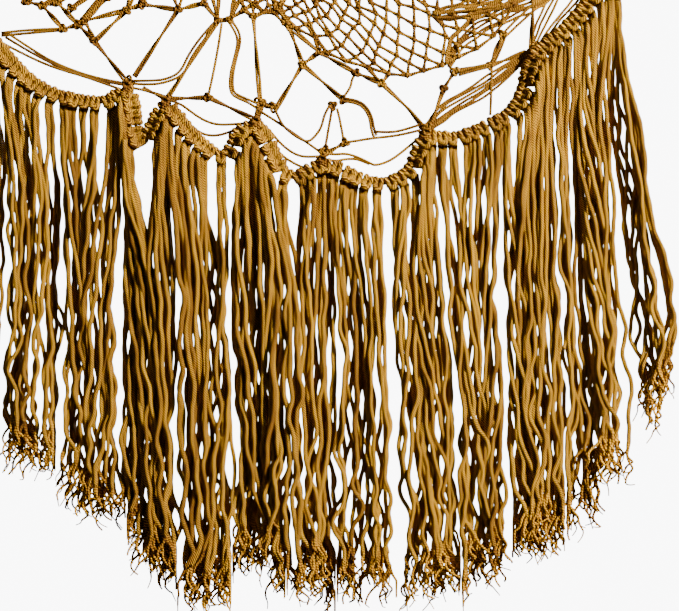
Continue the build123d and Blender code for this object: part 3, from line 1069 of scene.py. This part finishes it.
def hoop_end_lashing(name, degrees):
    lashing = Skein()
    arc = on_hoop(degrees - LASHING_HALF_ARC, degrees + LASHING_HALF_ARC)
    turns = coil(arc, LASHING_TURNS, HOOP_WRAP_RADIUS + OVER_WRAP)
    lashing.add(turns, 1.1, across=ALONG_HOOP, tone=0.42)
    piece = lashing.build(f"hoop_end_lashing_{name}", TWINE_COTTON)
    hand_over(piece, "catcher", "hoop_wrap", f"hoop_lashing_{name}")


def hoop():
    """The rod's cotton wrap, wound close, with the end lashings and the web's hitches over it."""
    start, end = HOOP_END_ANGLE, 180 - HOOP_END_ANGLE
    sweep = math.radians(end - start) * HOOP_RADIUS
    wrap = Skein()
    turns = coil(on_hoop(start, end), int(sweep / WRAP_PITCH), HOOP_WRAP_RADIUS - WRAP_DEPTH)
    wrap.add(turns, WRAP_CORD_RADIUS, across=ALONG_HOOP)
    hand_over(wrap.build("hoop_winding", WRAP_COTTON), "catcher", "hoop_wrap", "hoop_wrap")
    hoop_end_lashing("right", start + LASHING_HALF_ARC)
    hoop_end_lashing("left", end - LASHING_HALF_ARC)
    hitches = Skein()
    for _, degrees in ring_knots(HITCH_RING, 1):
        if is_upper(degrees):
            arc = on_hoop(degrees - HITCH_HALF_ARC, degrees + HITCH_HALF_ARC)
            turns = coil(arc, HITCH_TURNS, HOOP_WRAP_RADIUS + OVER_WRAP)
            hitches.add(turns, TWINE_RADIUS, sides=7, across=ALONG_HOOP, tone=0.4)
    piece = hitches.build("web_hoop_hitches", TWINE_COTTON)
    hand_over(piece, "catcher", "web_twine", "web_hitches")


# Where the web is tied down to the header.
TIES = [(-213, -143), (-111, -185), (-83, -197), (-17, -210), (32, -239), (107, -218), (185, -160)]
TIE_LENGTH = 5.5
TIE_TURNS = 3.4
TIE_RADIUS = 6.3


def tie_strands(centre):
    """The free turns of twine in the knot below a tie's winding."""
    routes = []
    for k in range(3):
        points = []
        for step in range(10):
            a = 2 * math.pi * step / 9 * 1.3 + k * 2.1
            low = -5.6 - 1.2 * math.sin(1.7 * a + k)
            points.append(centre + np.array([2.6 * math.cos(a), low, 2.6 * math.sin(a) + 4.0]) * MM)
        routes.append(points)
    return smooth_all(routes, 4)


def ties(header):
    """Web twine wound and knotted round the header and its loops."""
    skein = Skein()
    tangents = unit(np.gradient(header, axis=0))
    for x, z in TIES:
        nearest = int(np.argmin(np.linalg.norm(header - at(x, z), axis=1)))
        centre, tangent = header[nearest], tangents[nearest]

        def centre_of(share, centre=centre, tangent=tangent):
            return centre + tangent * (share - 0.5) * TIE_LENGTH * MM, tangent

        winding = smooth_all([coil(centre_of, TIE_TURNS, TIE_RADIUS)], 4)[0]
        skein.add(even(winding, 0.8 * MM), 1.2, across=tuple(tangent), tone=0.35)
        for line in tie_strands(centre):
            skein.add(line, 0.95, sides=7, across=(0.1, 1, 0.1), tone=0.38)
    piece = skein.build("header_tie_knots", TWINE_COTTON)
    hand_over(piece, "catcher", "header_cotton", "header_ties")


# The hanging loop's cord, one side after the other, from the row's origin.
LOOP_ROUTE = [
    (-2.2, 0, -63),
    (-2.8, 0, -55),
    (-9.3, 0, -12),
    (-9.3, 0, -1),
    (-5, 0, 1.9),
    (5, 0, 1.9),
    (9.3, 0, -1),
    (9.3, 0, -12),
    (2.8, 0, -55),
    (2.2, 0, -63),
]
LOOP_CORD_RADIUS = 1.5
LOOP_KNOT_Z = -60.5
LOOP_KNOT_RADIUS = 3.6


def hanging_loop():
    """The loop that it hangs from: one cord doubled, knotted above the hoop."""
    cord = Skein()
    line = smooth_all([[np.array(p) * MM for p in LOOP_ROUTE]], 10)[0]
    cord.add(even(line, 1.5 * MM), LOOP_CORD_RADIUS, sides=12, across=(0, 1, 0), plies=PLIES, depth=0.15)
    hand_over(cord.build("hanging_cord", WRAP_COTTON), "hanger", "loop_cord", "hanging_loop")
    knot = Skein()
    routes = []
    for k in (-1, 0, 1):
        points = []
        for step in range(13):
            a = 2 * math.pi * step / 12
            tilt = k * 0.8
            out = LOOP_KNOT_RADIUS * math.sin(a)
            z = LOOP_KNOT_Z + out * math.sin(tilt) + k * 1.4
            points.append(np.array([LOOP_KNOT_RADIUS * math.cos(a), out * math.cos(tilt), z]) * MM)
        routes.append(points)
    for line in smooth_all(routes, 5):
        knot.add(line, LOOP_CORD_RADIUS, sides=10, across=(0.1, 0.1, 1), tone=0.45)
    piece = knot.build("hanging_overhand_knot", WRAP_COTTON)
    hand_over(piece, "hanger", "loop_cord", "hanging_knot")


def finish_cad():
    """The CAD pieces that show keep their shape and get a real surface."""
    for node, material in (("hoop_core", PLAIN_WIRE), ("hanging_turns", PLAIN_CORD)):
        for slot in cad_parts[node].material_slots:
            slot.material = material


# ---------------------------------------------------------------- stage, lights and camera
def white_surround():
    n = Nodes("surround_white")
    geometry = n.node("ShaderNodeNewGeometry")
    clear = n.node("ShaderNodeBsdfTransparent")
    mix = n.node("ShaderNodeMixShader")
    out = n.tree.nodes["Material Output"]
    n.shader.inputs["Base Color"].default_value = (0.8, 0.8, 0.82, 1)
    n.shader.inputs["Roughness"].default_value = 1.0
    n.shader.inputs["Emission Color"].default_value = (0.985, 0.992, 1.0, 1)
    n.shader.inputs["Emission Strength"].default_value = 9.0
    n.link(geometry.outputs["Backfacing"], mix.inputs[0])
    n.link(n.shader.outputs[0], mix.inputs[1])
    n.link(clear.outputs[0], mix.inputs[2])
    n.link(mix.outputs[0], out.inputs["Surface"])
    return n.material


LIT_PLACE = (0.05, 0.0, -0.62)
# Name, place, size, power and colour.
LIGHTS = [
    ("key", (1.75, -1.15, 0.4), 0.14, 235, (1.0, 0.985, 0.95)),
    ("fill", (-1.2, -1.9, -0.2), 1.6, 3, (0.95, 0.97, 1.0)),
    ("back", (0.6, 2.2, 0.5), 1.0, 130, (0.98, 0.99, 1.0)),
]


def area_light(name, place, size, power, colour):
    light = bpy.data.lights.new(name, "AREA")
    light.shape, light.size, light.energy, light.color = "DISK", size, power, colour
    lamp = bpy.data.objects.new(name, light)
    lamp.location = place
    lamp.rotation_euler = Vector(np.array(LIT_PLACE) - np.array(place)).to_track_quat("-Z", "Y").to_euler()
    bpy.context.scene.collection.objects.link(lamp)


def stage_and_lights():
    """A white surround and floor that light nothing, three soft lamps and a faint sky."""
    white = white_surround()
    bpy.ops.mesh.primitive_uv_sphere_add(radius=6, location=(0, 0, -0.4), segments=48, ring_count=24)
    surround = bpy.context.object
    surround.data.flip_normals()
    bpy.ops.mesh.primitive_plane_add(size=3.2, location=(0, 0, -1.25))
    floor = bpy.context.object
    for name, piece in (("white_surround", surround), ("pale_floor", floor)):
        piece.name = name
        piece.data.materials.append(white)
        piece.visible_diffuse = False
        piece.visible_glossy = False
        piece.visible_transmission = False
        piece.visible_shadow = False
    for light in LIGHTS:
        area_light(*light)
    world = bpy.context.scene.world or bpy.data.worlds.new("World")
    bpy.context.scene.world = world
    world.use_nodes = True
    sky = world.node_tree.nodes["Background"]
    sky.inputs["Color"].default_value = (1, 1, 1, 1)
    sky.inputs["Strength"].default_value = 0.05


CAMERA_MIDDLE = (44, -342)
CAMERA_Y = -1.378


def camera():
    """Straight at the front, level, as high as the header."""
    view = bpy.data.cameras.new("camera")
    view.lens, view.sensor_width, view.sensor_fit = 100, 36, "HORIZONTAL"
    eye = bpy.data.objects.new("camera", view)
    middle = at(*CAMERA_MIDDLE)
    eye.location = (middle[0], CAMERA_Y, middle[2])
    eye.rotation_euler = (math.pi / 2, 0, 0)
    bpy.context.scene.collection.objects.link(eye)
    bpy.context.scene.camera = eye


camera()
header = header_line()
header_cord(header)
fringe(header)
net_edge = dense_net()
lower_web(net_edge)
upper_web(net_edge)
ties(header)
hoop()
hanging_loop()
finish_cad()
stage_and_lights()
